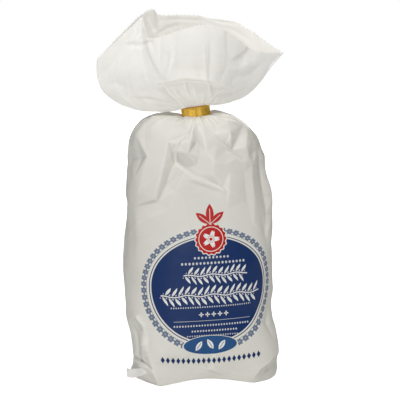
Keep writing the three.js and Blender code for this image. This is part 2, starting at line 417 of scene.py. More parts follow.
frontNet = [
    # calm paper round the creased part
    [(120, 126, 0), (120, 160, 0), (120, 190, 0), (120, 245, 0), (150, 236, 0), (176, 222, 0), (202, 222, 0),
     (232, 232, 0), (256, 250, 0), (280, 262, 0), (280, 180, 0), (276, 150, 0), (262, 128, 0), (246, 112, 0),
     (222, 108, 0), (180, 108, 0), (148, 110, 0), (120, 126, 0)],
    # dent beside the left edge: its rim, and the valley that runs to the edge
    [(131, 131, 0.3), (138, 136, 1.2), (148.5, 157, 1.3), (136.5, 176.5, 1.2), (129, 183, 0.4)],
    [(148.5, 157, 1.3), (140, 158, -2.2), (127, 159, -2.2)],
    # pale panel with a steep side
    [(138, 136, 1.2), (146, 138, 0.1), (168, 141.5, 1.0), (163.5, 168, 2.9), (155.5, 198, 1.8),
     (139.5, 190, 1.6), (136.5, 176.5, 1.2)],
    [(171, 150, -0.6), (173, 162.5, -2.9), (165.5, 183, -2.1), (157.5, 201, -0.5)],
    # recessed panel under the neck, over the step that crosses the front
    [(178, 143, 2.2), (175.5, 150, 1.4), (175.5, 163, 0.7), (186, 170.5, 1.7), (196, 177.5, 1.9),
     (210, 184, 1.4), (226, 191, 0.5)],
    [(178, 161.5, -3.2), (187, 167.2, -4.3), (196.5, 173.6, -3.1), (210, 180.8, -1.2), (222, 186.5, 0)],
    [(194, 121, 0.1), (189, 131, -1.8), (180, 143, 1.0)],
    [(197, 124, 0), (197.6, 141, -2.6), (199, 155.5, -1.0), (196.5, 164, -2.4)],
    [(192, 131, 1.2), (191, 141, 3.6), (188, 153, 1.6)],
    [(203, 124, 0.4), (203.5, 138, 1.5), (206, 150, 1.3), (213, 161, 2.6), (224, 163, 1.9)],
    [(213, 161, 2.6), (213, 174, 1.5)],
    # star of creases under the right shoulder
    [(214, 134, -0.2), (225, 143, -1.6), (233, 149.5, -2.3), (238, 154, -1.5), (245, 161, 0.1)],
    [(242, 124, 0.2), (238.5, 136, -1.7), (233, 149.5, -2.3)],
    [(229, 132, 1.6), (230, 140, 1.2)],
    [(217, 145, 0.6), (226, 150, -0.6), (236, 158, 0.6)],
    [(246, 131, 1.2), (244.5, 146, 1.8), (248, 158, 0.7)],
    [(251.5, 141, 0.6), (253.5, 152, -1.0), (252.5, 165, 0)],
    # fold that runs down the right edge
    [(258.5, 141, 0.6), (266, 165, 1.8), (272, 196, 2.2), (273, 214, 0.6)],
    [(258, 150, -0.4), (262.5, 168, -2.1), (267.5, 196, -3.0), (268.5, 214, -2.2), (266.5, 240, -0.4)],
    [(252, 176, 0.6), (254, 198, 0.6), (254, 222, 0.3)],
    # calmer creases lower down
    [(229, 172, 0.9), (228, 190, 1.6), (226, 208, 0.3)],
    [(244, 172, -0.7), (247, 200, -0.9), (252, 226, 0)],
    [(133, 206, 0), (139, 222, 1.1), (137, 238, 0)],
    [(176, 190, 0.6), (170, 208, 0.3)],
]

frontFolds = {
    "lipLower": ([(190, 181, -0.5), (208, 187, -0.9), (228, 194, -0.3)], (3.5, 7)),
    "starLow": ([(215, 143, -0.2), (224, 148, -0.7), (233, 151, -0.4)], (4, 7)),
    "lowEdgeLine": ([(262, 213, 0), (267, 232, -1.5), (269, 256, 0)], (4, 7)),
    "leftLong": ([(137, 204, 0), (139, 232, 1.2), (136, 268, 0)], (13, 6), "round"),
    "lowerLeftRidge": ([(131, 314, 0), (138, 317, 3.0), (143, 324, 2.4), (146, 332, 0.6)], (6, 5)),
    "lowerLeftBulge": ([(144, 334, 1.2), (145, 343, 3.6), (146, 353, 0.9)], (7, 6), "round"),
    "lowerLeftCrease": ([(132, 322, -0.8), (136, 333, -2.6), (137, 345, -4.2), (139, 359, -2.2)],
                        (5, 4)),
    "cornerFold": ([(134, 356, -1.2), (140, 361, -4.0), (152, 368, -1.4)], (4, 3)),
    "cornerRidge": ([(147, 330, 0), (148.5, 350, 1.6), (152, 367, 2.0), (159, 385, 0.8)], (22, 5)),
    "tuckRidge": ([(139, 361, 0.6), (148, 368, 1.4), (153, 373, 0.4)], (3, 5)),
    "rightTuck": ([(279, 351, 0.4), (269, 362.5, 1.8), (260, 369, 1.8), (250, 383, 1.0)], (3, 18)),
    "tuckInner": ([(276, 362, 0), (268, 371, -1.2), (258, 379, 0)], (5, 5)),
    "rightLow": ([(271, 296, 0), (268, 322, -2.2), (277, 346, 0)], (5, 10)),
    "shoulderCrease": ([(152, 115, 0), (142, 123, -1.8), (132, 137, -0.3)], (5, 6)),
    "shoulderFlat": ([(176, 116, 0.3), (158, 122, 1.3), (146, 134, 0)], (8, 6)),
    "rightTop": ([(214, 117, 0.2), (231, 123, 1.3), (246, 133, 0)], (6, 8)),
}

bodyRelief = {
    "softness": 0.6,
    "frontDepth": 1.2,
    "netSpacing": 27.0,
    "netDepth": 1.35,
    "fineSpacing": 11.0,
    "fineDepth": 0.34,
    "labelCalm": 0.38,  # share of the creasing that is left on the printed front
    "backMore": 1.7,  # the sides and the back are creased more deeply
    "lumpDepth": 1.1,  # pieces of gingerbread that press against the paper
    "gathers": 37,
    "gatherDepth": 2.8,
    "gatherLength": 38.0,
    "gatherMean": 0.38,
    "gatherFades": (0.5, 7, 12, 34),
    "seamWidth": 9.0,
    "seamRise": 0.7,
    "gussetDepth": 1.3,
    "gussetReach": 24.0,
    "paperWidth": 330.0,
    "labelPlace": (1, 82, 50, 52),  # the calm print: its middle on the flat paper and its reach
}


def backFolds():
    # long creases that run down from the neck round the sides and the back, on the flat paper
    maker = np.random.default_rng(41)
    folds = {}
    for k, place in enumerate(np.linspace(-162, -72, 8).tolist() + np.linspace(74, 160, 8).tolist()):
        top, drop = maker.uniform(196, 212), maker.uniform(32, 92)
        shift, rise = maker.uniform(-13, 13), maker.uniform(1.5, 3.2) * maker.choice([-1, 1])
        middle = (place + shift * 0.4, top - drop * 0.4, rise)
        folds[k] = [(place, top, 0), middle, (place + shift, top - drop, 0)], maker.uniform(4, 13, 2)
    return folds


def gatherField(angles, distance, count, seed):
    # pleats that spread from the neck: each has a width, a depth and a length of its own
    maker = np.random.default_rng(seed)
    total = np.zeros(np.broadcast(angles, distance).shape)
    for k in range(count):
        middle = (k + maker.uniform(-0.28, 0.28)) * 2 * math.pi / count
        width = maker.uniform(0.35, 0.62) * 2 * math.pi / count
        length = maker.uniform(0.35, 1.0)
        off = np.abs((angles - middle + math.pi) % (2 * math.pi) - math.pi) / width
        ridge = np.clip(1 - off, 0, 1) ** 1.5
        total += ridge * maker.uniform(0.5, 1.0) * np.clip(1 - distance / length, 0, 1) ** 0.8
    return total


def gatherHeights(angles, fromNeck, relief, seed):
    pleats = gatherField(angles, fromNeck / relief["gatherLength"], relief["gathers"], seed)
    depth = relief["gatherDepth"] * windowed(fromNeck, *relief["gatherFades"])
    return (pleats - relief["gatherMean"]) * depth


def sheetCreases(paper, up, relief, seeds):
    # creasing of the whole sheet, in a coarse and a fine net
    width = bodyRelief["paperWidth"]
    net = crumpledNet(paper, up, width, relief["netSpacing"], relief["netDepth"], seeds[0])
    return net + crumpledNet(paper, up, width, relief["fineSpacing"], relief["fineDepth"], seeds[1])


def bodyHeights(points, normals, around, up, wallRows):
    relief = bodyRelief
    columns = bodyMesh["columns"]
    angles = columnAngles(columns)[None, :]
    toCamera = viewAxes()[0]
    seen = smoothStep(normals @ toCamera, 0.02, 0.3)
    photoX, photoY = photoPlace(points)
    placed = creasedNet(photoX, photoY, frontNet) * relief["frontDepth"]
    heights = seen * (foldHeights(photoX, photoY, frontFolds) + placed)
    heights += foldHeights(around, up, backFolds()) * (1 - seen)
    # the whole sheet is creased, and calmer where the print lies flat
    paper = (np.arange(columns + 1) / columns)[None, :] * relief["paperWidth"] + np.zeros(up.shape)
    middleX, middleY, reachX, reachY = relief["labelPlace"]
    label = np.exp(-((around - middleX) / reachX) ** 4 - ((up - middleY) / reachY) ** 4)
    calm = 1 - (1 - relief["labelCalm"]) * label
    calm *= 1 - 0.5 * seen * smoothStep(up, 120, 150)
    calm *= 1 + (relief["backMore"] - 1) * (1 - seen)
    heights += sheetCreases(paper, up, relief, (7, 12)) * calm
    # soft lumps of the filling
    turn = paper / relief["paperWidth"] * 2 * math.pi
    lumps = (np.sin(3 * turn + up / 23 + 0.6) * np.sin(up / 17 + 1.1) + 0.6 * np.sin(5 * turn - up / 31)
             * np.cos(up / 12 + 2 * np.sin(turn)))
    heights += lumps * relief["lumpDepth"] * 0.5 * smoothStep(up, 12, 50) * (1 - 0.6 * label)
    # side gussets, pressed in down their middle, and the glued seam down the back
    toSeam = np.where(around < 0, -around[:, :1], around[:, -1:])
    side = np.clip(1 - np.abs(np.abs(around) - toSeam / 2) / relief["gussetReach"], 0, 1)
    heights -= side * relief["gussetDepth"] * windowed(up, 20, 60, 150, 185)
    seamGap = toSeam - np.abs(around) - relief["seamWidth"] / 2
    heights += relief["seamRise"] * (1 - smoothStep(seamGap, -0.6, 0.4)) * smoothStep(up, 4, 10)
    # gathers under the band
    tail = bodyMesh["neckRows"] + len(bodyMesh["plugShares"])
    heights += gatherHeights(angles, np.maximum(up[-tail - 1] - up, 0), relief, 5)
    # nothing moves on the ground or inside the band
    still = np.ones(len(points))
    still[:wallRows.start] = 0
    still[wallRows.start:wallRows.start + 8] = np.linspace(0.15, 0.9, 8)
    still[-tail:] = 0
    still[-tail - 3:-tail] = (0.8, 0.5, 0.2)
    return heights * still[:, None]


def tubePiece(name, points, around, up, sharp=None):
    # a grid sheet is bent to its place: its columns run round and its rows run up. A sheet that has its
    # sharpness with it is a tube, and is closed down its back
    rows, columns = points.shape[0] - 1, points.shape[1] - 1
    sheet = bmesh.new()
    paperMap = sheet.loops.layers.uv.new("paper")
    bmesh.ops.create_grid(sheet, x_segments=columns, y_segments=rows, size=1)
    sheet.verts.ensure_lookup_table()
    places = np.array([v.co[:2] for v in sheet.verts])
    column = np.rint((places[:, 0] + 1) / 2 * columns).astype(int)
    row = np.rint((places[:, 1] + 1) / 2 * rows).astype(int)
    spots = points[row, column] * mm
    flat = np.stack([around[row, column], up[row, column]], axis=1) * mm
    for vertex, spot in zip(sheet.verts, spots):
        vertex.co = spot
    for face in sheet.faces:
        face.smooth = True
        for loop in face.loops:
            loop[paperMap].uv = flat[loop.vert.index]
    crease = sheet.verts.layers.float.new("crease")
    if sharp is not None:
        for vertex, value in zip(sheet.verts, sharp[row, column]):
            vertex[crease] = value
        bmesh.ops.remove_doubles(sheet, verts=sheet.verts, dist=1e-6)
    return addObject(name, sheet)


def addObject(name, sheet):
    mesh = bpy.data.meshes.new(name)
    sheet.to_mesh(mesh)
    sheet.free()
    piece = bpy.data.objects.new(name, mesh)
    bpy.context.scene.collection.objects.link(piece)
    return piece


def thicken(piece, name, thickness, offset):
    wall = piece.modifiers.new(name, "SOLIDIFY")
    wall.thickness = thickness * mm
    wall.offset = offset


def foldSharpness(heights):
    # positive along ridges and negative along valleys, for the painted shade in fold valleys and the painted
    # highlight along fold ridges
    inner = heights[:, :-1]
    around = np.roll(inner, 1, axis=1) + np.roll(inner, -1, axis=1) - 2 * inner
    up = np.zeros(inner.shape)
    up[1:-1] = inner[2:] + inner[:-2] - 2 * inner[1:-1]
    sharp = -(around + up)
    return np.hstack([sharp, sharp[:, :1]])


def makeBody():
    points, around, up, wallRows = bodyBase()
    normals = gridNormals(points)
    heights = bodyHeights(points, normals, around, up, wallRows)
    heights = mixBetween(heights, softened(heights), bodyRelief["softness"])
    sharp = foldSharpness(heights)
    points = points + normals * heights[..., None]
    points[..., 2] = np.maximum(points[..., 2], 0)
    body = tubePiece("bagBody", points, around, up, sharp)
    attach(body, "root")
    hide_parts("bag")
    return body


bagBody = makeBody()
print("body:", len(bagBody.data.polygons), "faces")

# the crown: the open end of the tube above the band, cut with a pinked edge

crownShape = {
    "columns": 480,
    "rows": 84,
    # the rim, as stretches from the middle of the back over the left tip: share of the columns, then points
    "rim": [
        (0.25, [(-14, 23.5, 290.1), (-31.2, 20.5, 290.4), (-35.8, 17, 294.8), (-42, 14.5, 293.2),
                (-55, 8, 283), (-80.5, 0, 258)]),
        (0.145, [(-80.5, 0, 258), (-62, -5, 276), (-46, -7, 291)]),
        (0.105, [(-46, -7, 291), (-44.6, -11, 284.5), (-42.3, -17, 274.4), (-34, -20, 275.5)]),
        (0.25, [(-34, -20, 275.5), (-25, -23, 278.5), (-11.6, -27, 283), (1.5, -28, 284.6),
                (13.5, -26, 281.5), (27.3, -19, 272.6), (43.3, -9, 262.4), (67, 0, 260.3)]),
        (0.25, [(67, 0, 260.3), (56.8, 5, 266.9), (46.2, 10.5, 275.6), (37.8, 14, 280.4), (31.8, 17, 284.1),
                (18.6, 22, 286.3), (6.8, 24.5, 287.8), (3.6, 25, 289.2), (-14, 23.5, 290.1)])],
    # the same stretches as the paper hangs lower down, where the folds of the rim have run out
    "calmRim": [
        (0.25, [(-14, 23.5, 289.4), (-31, 21.5, 289.6), (-52, 12, 283), (-80.5, 0, 258)]),
        (0.145, [(-80.5, 0, 258), (-62, -8, 275), (-46, -15, 281)]),
        (0.105, [(-46, -15, 281), (-41, -18, 280.5), (-34, -21.5, 279.5)]),
        (0.25, [(-34, -21.5, 279.5), (-16, -26.5, 281.5), (-1, -28, 284), (13.5, -26, 281.5),
                (38.5, -13, 268), (67, 0, 260.3)]),
        (0.25, [(67, 0, 260.3), (46.2, 10.5, 275.6), (32, 17, 284), (4, 24.5, 288), (-14, 23.5, 289.4)])],
    "rimFade": (0.42, 1.0),
    "sweepFace": (0.5, 0.14, 1.2, 0.47),  # near handle: share and rise, far handle: share and rise
    "sweepBack": (0.5, 0.16, 0.82, 0.6),
    "sweepLeft": (0.54, -0.3, 1.15, 0.2),
    "sweepRight": (0.52, -0.13, 0.62, 0.34),
    "teeth": 106,
    "toothDepth": 1.2,
    "foldedEdge": (3, 5, 29, 32),  # across: where the back rim is turned over and shows no teeth
    "thickness": 0.25,
    "overNeck": 0.12,
    "mapStart": 200,  # of the crown on the flat paper
}

crownFolds = {
    # outer face of the front sheet, at pixels of the photograph
    "tallRidge": ([(204, 46, 0.3), (205, 62, 1.1), (206, 84, 0.5)], (2, 7)),
    "tallValley": ([(209, 40, -0.3), (209, 60, -1.0), (208, 82, -0.4)], (10, 2.5)),
    "leftRidge": ([(172, 44, 0), (172, 62, 1.4), (167, 80, 0)], (9, 5)),
    "leftValley": ([(161, 40, -0.5), (161, 60, -0.9), (162, 78, -0.2)], (8, 4)),
    "pitLine": ([(151, 42, -0.8), (154, 50, -0.3), (157, 58, 0)], (9, 4)),
    "rightValley": ([(226, 33, -0.7), (227, 46, -1.3), (228, 62, 0)], (12, 4)),
    "rightRecess": ([(252, 47, -1.4), (241, 57, -1.7), (229, 63, -0.3)], (11, 5), "round"),
    "arch": ([(160, 82, 0.8), (172, 79.5, 2.0), (186, 77.5, 2.4), (206, 79, 2.3), (230, 88, 0.4)],
             (12, 2.4)),
    "throatHollow": ([(166, 87, -0.8), (187, 85, -2.4), (206, 86, -2.3), (224, 91, -0.3)],
                     (5, 10), "round"),
    "throatFirst": ([(184, 80, 0.4), (185.5, 88, 1.7), (189, 96, 0.3)], (2.5, 4)),
    "throatSecond": ([(193, 86, 0), (195, 92, 1.1), (196, 100, 0.2)], (3, 3)),
    "throatThird": ([(206.5, 80, 0.9), (209.5, 88, 1.9), (211.5, 99, 0.3)], (2.5, 4)),
    "throatFourth": ([(228, 88, 0), (219, 92, 0.9), (213, 99, 0.2)], (4, 3)),
    "throatLeft": ([(160, 83, -0.4), (165, 90, -1.5), (177, 101, -0.5)], (4, 3)),
    "wingLow": ([(127, 97, 0), (150, 98, -1.7), (179, 105, -0.8)], (4, 8)),
    "wingLower": ([(148, 105, 0), (162, 107, -1.2), (180, 108, -0.6)], (4, 4)),
    "wingMiddle": ([(152, 87, 0), (166, 94, -1.3), (177, 102, -0.5)], (5, 4)),
    "wingUpper": ([(171, 85, 0), (176, 92, 1.2), (181, 99, 0.2)], (4, 4)),
    "wingSoft": ([(108, 60, 0), (128, 70, 1.5), (146, 88, 0)], (24, 22), "round"),
    "wingFold": ([(99, 84, 0), (116, 82, -0.9), (134, 90, 0)], (12, 7)),
    "cornerLine": ([(128.5, 42.5, -1.6), (139, 43, -1.6), (150, 40.5, -1.0)], (1.6, 6)),
    "cornerFacet": ([(129, 42, 0.9), (137, 26, 0.9), (142, 14, 0.2)], (10, 5)),
    "facetStreak": ([(139, 22, 0), (138, 32, -0.7), (141, 40, 0)], (3, 3)),
    "rightLow": ([(214, 98, -0.5), (232, 94, -1.2), (248, 87, 0)], (6, 6)),
    "rightWing": ([(228, 70, 0), (244, 66, 1.3), (262, 57, 0)], (16, 15), "round"),
    "rightWingLine": ([(232, 78, 0), (248, 74, -1.0), (264, 62, 0)], (10, 5)),
}

innerFolds = {
    # inner face of the back sheet, seen over the front lip
    "hem": ([(160, 21, -0.5), (178, 19.5, -1.0), (200, 20.5, -0.8), (214, 25, 0)], (2, 4)),
    "foldedEdge": ([(203, 18, 0), (220, 22, -1.3), (237, 25, -0.4)], (2, 3)),
    "innerShade": ([(160, 33, -1.2), (172, 27, -0.8), (186, 24, 0)], (4, 6)),
    "innerRight": ([(222, 27, 0), (236, 33, -1.0), (256, 46, 0)], (6, 3)),
    "cornerPit": ([(148, 18, -1.0), (154, 30, -1.6)], (5, 5)),
}

crownRelief = {
    "netSpacing": 19.0,
    "netDepth": 1.0,
    "fineSpacing": 7.0,
    "fineDepth": 0.22,
    "gathers": 31,
    "gatherDepth": 1.4,
    "gatherLength": 30.0,
    "gatherMean": 0.3,
    "gatherFades": (0.5, 6, 20, 34),
}


def curveThrough(points, count):
    points = np.array(points, float)
    knots = np.concatenate([[0], np.cumsum(np.linalg.norm(np.diff(points, axis=0), axis=1) ** 0.5)])
    fine = smoothCurve(np.linspace(0, knots[-1], 1600), knots, points)
    return evenPoints(fine, count)


def rimPoints(stretches, columns):
    rim = [curveThrough(points, round(share * columns)) for share, points in stretches]
    return np.concatenate([stretch[:-1] for stretch in rim[:-1]] + [rim[-1]])


def crownBase():
    columns, rows = crownShape["columns"], crownShape["rows"]
    calm = rimPoints(crownShape["calmRim"], columns)
    rim = rimPoints(crownShape["rim"], columns)
    half = bagShape["neckLength"] / 2
    start = neckRings([half], columns, crownShape["overNeck"])[0]
    sweep = sweepOf(columns, crownShape["sweepFace"], crownShape["sweepBack"], crownShape["sweepLeft"],
                    crownShape["sweepRight"])
    near, far = sweepHandles(start, calm, start[:, 2], calm[:, 2], sweep)
    fan = sweptColumns(start, near, far, calm, rows)
    fade = smoothStep(np.linspace(0, 1, rows + 1), *crownShape["rimFade"]) ** 1.5
    fan += (rim - calm)[None] * fade[:, None, None]
    collar = neckRings(np.linspace(-half + 0.8, half, 9)[:-1], columns, crownShape["overNeck"])
    return np.concatenate([collar, fan]), len(collar)


def fanCreases():
    # straight creases that run out from the neck to the rim, on the flat paper of the crown
    maker = np.random.default_rng(17)
    folds = {}
    for k, place in enumerate(np.linspace(-158, 158, 22)):
        foot, head = maker.uniform(14, 40), maker.uniform(45, 80)
        shift, rise = maker.uniform(-7, 7), maker.uniform(0.35, 0.95) * maker.choice([-1, 1])
        middle = (place + shift * 0.5, (foot + head) / 2, rise)
        folds[k] = [(place, foot, 0), middle, (place + shift, head, 0)], maker.uniform(3, 10, 2)
    return folds


def makeCrown():
    relief = crownRelief
    points, collarRows = crownBase()
    columns = crownShape["columns"]
    normals = gridNormals(points)
    angles = columnAngles(columns)[None, :]
    rowStep = np.linalg.norm(np.diff(points, axis=0), axis=2)
    up = np.vstack([np.zeros((1, columns + 1)), np.cumsum(rowStep, axis=0)])
    fromNeck = np.maximum(up - up[collarRows], 0)
    width = bodyRelief["paperWidth"]
    around = (np.arange(columns + 1) / columns - 0.5)[None, :] * width + np.zeros(up.shape)
    photoX, photoY = photoPlace(points)
    facing = normals @ viewAxes()[0]
    # the far sheet of the crown is the one behind the fold from tip to tip
    frontSheet = smoothStep(-np.sin(angles), -0.05, 0.1) * smoothStep(facing, 0.0, 0.25)
    backSheet = smoothStep(np.sin(angles), -0.05, 0.1) * smoothStep(-facing, 0.0, 0.25)
    heights = frontSheet * foldHeights(photoX, photoY, crownFolds)
    heights -= backSheet * foldHeights(photoX, photoY, innerFolds)
    heights += sheetCreases(around + width / 2, up, relief, (23, 29)) * smoothStep(fromNeck, 2, 25)
    heights += foldHeights(around, fromNeck, fanCreases())
    heights += gatherHeights(angles, fromNeck, relief, 8)
    heights = softened(heights)
    sharp = foldSharpness(heights)
    points = points + normals * heights[..., None]
    # teeth of the cut edge
    outward = points[-1] - points[-4]
    outward /= np.linalg.norm(outward, axis=1, keepdims=True)
    reached = pathLengths(points[-1])
    phase = reached / reached[-1] * crownShape["teeth"] % 1
    tooth = 1 - np.abs(2 * phase - 1)
    x = points[-1, :, 0]
    folded = windowed(x, *crownShape["foldedEdge"]) * (np.sin(angles[0]) > 0)
    cut = (tooth - 0.5) * crownShape["toothDepth"] * (1 - folded)
    points[-1] += outward * cut[:, None]
    points[-2] += outward * cut[:, None] * 0.35
    crown = tubePiece("bagCrown", points, around, up + crownShape["mapStart"], sharp)
    thicken(crown, "paperThickness", crownShape["thickness"], -1)
    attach(crown, "root")
    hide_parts("bag")
    return crown


bagCrown = makeCrown()
print("crown:", len(bagCrown.data.polygons), "faces")

# the gold band: a flat strip with a wire along each edge, wound a turn and a third round the neck

bandShape = {
    "height": 8.0,
    "thickness": 0.5,
    "gap": 0.42,  # from the paper to the strip
    "turns": 1.3,
    "girth": 52,  # length of a turn
    "endAngle": 263.0,  # where the outer end lies, in degrees round from the right
    "layer": 0.62,  # how far a turn lies outside the one under it
    "drop": 0.9,  # and how much lower, with more of it towards the right
    "dropRight": 0.8,
    "place": -0.1,  # of the strip's middle along the neck
    "wireRadius": 0.55,
    "wireRise": 0.4,
    "columns": 220,
    "rows": 22,
    "ripple": 0.16,
}


def makeBand():
    shape = bandShape
    columns, rows = shape["columns"], shape["rows"]
    share = np.linspace(0, 1, columns + 1)[None, :]
    level = np.linspace(-0.5, 0.5, rows + 1)[:, None]
    turned = (share - 1) * shape["turns"] * 360
    angle = np.radians(shape["endAngle"] + turned)
    over = smoothStep(turned, -360 * 1.05, -40)
    spread = shape["gap"] + shape["layer"] * over
    edge = np.abs(level) * shape["height"] - (shape["height"] / 2 - shape["wireRadius"])
    wire = shape["wireRise"] * np.clip(1 - (edge / shape["wireRadius"]) ** 2, 0, 1) ** 0.5
    maker = np.random.default_rng(3)
    waves = sum(np.sin(angle * k + maker.uniform(0, 6) + level * maker.uniform(-2, 2)) for k in (5, 9, 14))
    spread = spread + wire + shape["ripple"] * waves / 2
    # the inner edge keeps clear of the gathered paper
    spread = np.maximum(spread, shape["gap"] - 0.1)
    x = (bagShape["neckHalfWidth"] + spread) * np.cos(angle)
    y = (bagShape["neckHalfDepth"] + spread) * np.sin(angle)
    drop = shape["drop"] + shape["dropRight"] * np.cos(angle)
    points = atNeck(x, y, level * shape["height"] - drop * over + shape["place"])
    around = share * shape["turns"] * shape["girth"] + np.zeros(points.shape[:2])
    up = level * shape["height"] + np.zeros(points.shape[:2])
    band = tubePiece("goldBand", points, around, up)
    thicken(band, "stripThickness", shape["thickness"], 1)
    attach(band, "root")
    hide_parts("tie")
    return band


goldBand = makeBand()
print("band wound")

# the end of the base seal, which sticks out at the left tip of the foot

sealShape = {
    # from its free end, along the tucked corner: across, depth, lower and upper edge
    "path": [(-59.6, 0, 0.5, 7.6), (-57.4, -4.6, 0.7, 8), (-54.6, -10, 2.0, 9.6), (-50.6, -18, 5.2, 12.0),
             (-46.4, -26.5, 9.4, 14.6)],
    "thickness": 0.7,
    "buckle": 0.5,
    "columns": 26,
    "rows": 8,
}


def makeSealEnd():
    shape = sealShape
    x, y, low, high = curveThrough(shape["path"], shape["columns"]).T
    share = np.linspace(0, 1, shape["columns"] + 1)[None, :]
    level = np.linspace(0, 1, shape["rows"] + 1)[:, None]
    sway = shape["buckle"] * np.sin(share * 9) * (level - 0.3)
    points = np.stack([x - sway, y - sway, mixBetween(low, high, level)], axis=2)
    tab = tubePiece("sealEnd", points, points[..., 0], points[..., 2])
    thicken(tab, "paperThickness", shape["thickness"], 0)
    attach(tab, "root")
    return tab


sealEnd = makeSealEnd()
print("seal end placed")

# helpers for the materials


def feed(tree, node, sources):
    # gives a node its inputs: each source is a wire, a socket or a plain value
    for title, source in sources.items():
        source = source.socket if isinstance(source, Wire) else source
        if isinstance(source, bpy.types.NodeSocket):
            tree.links.new(source, node.inputs[title])
        else:
            node.inputs[title].default_value = source
    return node


def addNode(tree, kind, sources=(), **values):
    node = tree.nodes.new(kind)
    for title, value in values.items():
        setattr(node, title, value)
    return feed(tree, node, dict(sources))


class Wire:
    # a number that runs through a node tree; arithmetic on it adds Math nodes
    def __init__(self, tree, socket):
        self.tree = tree
        self.socket = socket

    def math(self, operation, *others):
        sources = dict(enumerate((self, *others)))
        return Wire(self.tree, addNode(self.tree, "ShaderNodeMath", sources, operation=operation).outputs[0])

    def reach(self, other):
        # the length of the arrow that has these two parts
        return (self * self + other * other).math("SQRT")

    def ranged(self, low, high, newLow=0.0, newHigh=1.0):
        sources = {"Value": self, "From Min": low, "From Max": high, "To Min": newLow, "To Max": newHigh}
        node = addNode(self.tree, "ShaderNodeMapRange", sources, interpolation_type="SMOOTHSTEP")
        return Wire(self.tree, node.outputs["Result"])

    def inside(self, soft=0.12):
        # 1 where a distance is below zero
        return self.ranged(soft, -soft)

    def without(self, other):
        return self * (other * -1 + 1)


# the operations that take one node each
for title, operation in {"__add__": "ADD", "__sub__": "SUBTRACT", "__mul__": "MULTIPLY", "both": "MULTIPLY",
                         "__truediv__": "DIVIDE", "absolute": "ABSOLUTE", "either": "MAXIMUM"}.items():
    setattr(Wire, title, functools.partialmethod(Wire.math, operation))


def anyOf(masks):
    total = masks[0]
    for mask in masks[1:]:
        total = total.either(mask)
    return total


def newGroup(name, inputs, outputs):
    group = bpy.data.node_groups.new(name, "ShaderNodeTree")
    for way, sockets in (("INPUT", inputs), ("OUTPUT", outputs)):
        for title, kind in sockets.items():
            group.interface.new_socket(title, in_out=way, socket_type="NodeSocket" + kind)
    return group, group.nodes.new("NodeGroupInput"), group.nodes.new("NodeGroupOutput")


def mixColours(tree, share, first, second, blend="MIX"):
    sources = {0: share, 6: first, 7: second}
    return addNode(tree, "ShaderNodeMix", sources, data_type="RGBA", blend_type=blend).outputs[2]


def noise(tree, vector, scale, detail=3.0, roughness=0.5, distortion=0.0):
    sources = {"Vector": vector, "Scale": scale, "Detail": detail, "Roughness": roughness,
               "Distortion": distortion}
    return Wire(tree, addNode(tree, "ShaderNodeTexNoise", sources).outputs["Fac"])


def creaseBump(tree, height, strength, distance):
    sources = {"Height": height, "Strength": strength, "Distance": distance}
    return addNode(tree, "ShaderNodeBump", sources).outputs["Normal"]


def newMaterial(name):
    material = bpy.data.materials.new(name)
    material.use_nodes = True
    tree = material.node_tree
    return material, tree, tree.nodes["Principled BSDF"]


paperGrainAndFoldShade = {
    "fibreScale": 900.0,
    "cloudScale": 22.0,
    "dimpleScale": 160.0,
    "fibreTone": 0.02,
    "cloudTone": 0.06,
    "foldShadeStrength": 0.25,
    "valleyLimit": -0.35,  # the sharpest valley and ridge that still change the tone
    "ridgeLimit": 0.25,
}


def makePaperGroup():
    # the surface of both papers: fibres and a cloudy tone, with painted shade in the valleys of the folds and
    # a painted highlight along their ridges
    look = paperGrainAndFoldShade
    group, given, result = newGroup("paperGrainAndFoldShade", {"Vector": "Vector", "Fold": "Float"},
                                    {"Tone": "Float", "Gloss": "Float", "Height": "Float"})
    vector = given.outputs["Vector"]
    fibres = noise(group, vector, look["fibreScale"], roughness=0.6) - 0.5
    clouds = noise(group, vector, look["cloudScale"], 4.0, 0.55, 0.6) - 0.5
    dimples = noise(group, vector, look["dimpleScale"]) - 0.5
    fold = Wire(group, given.outputs["Fold"])
    # painted shade and highlight: the tone is darkened along fold valleys and lightened along fold ridges
    creaseShade = fold.math("MINIMUM", look["ridgeLimit"]).math("MAXIMUM", look["valleyLimit"]) * look["foldShadeStrength"]
    tone = clouds * look["cloudTone"] + creaseShade + fibres * look["fibreTone"] + 1
    gloss = clouds * 0.25 + fibres * 0.1 + fold.absolute().math("MINIMUM", 0.3) * 0.5
    feed(group, result, {"Tone": tone, "Gloss": gloss, "Height": fibres * 0.25 + dimples * 0.75})
    return group


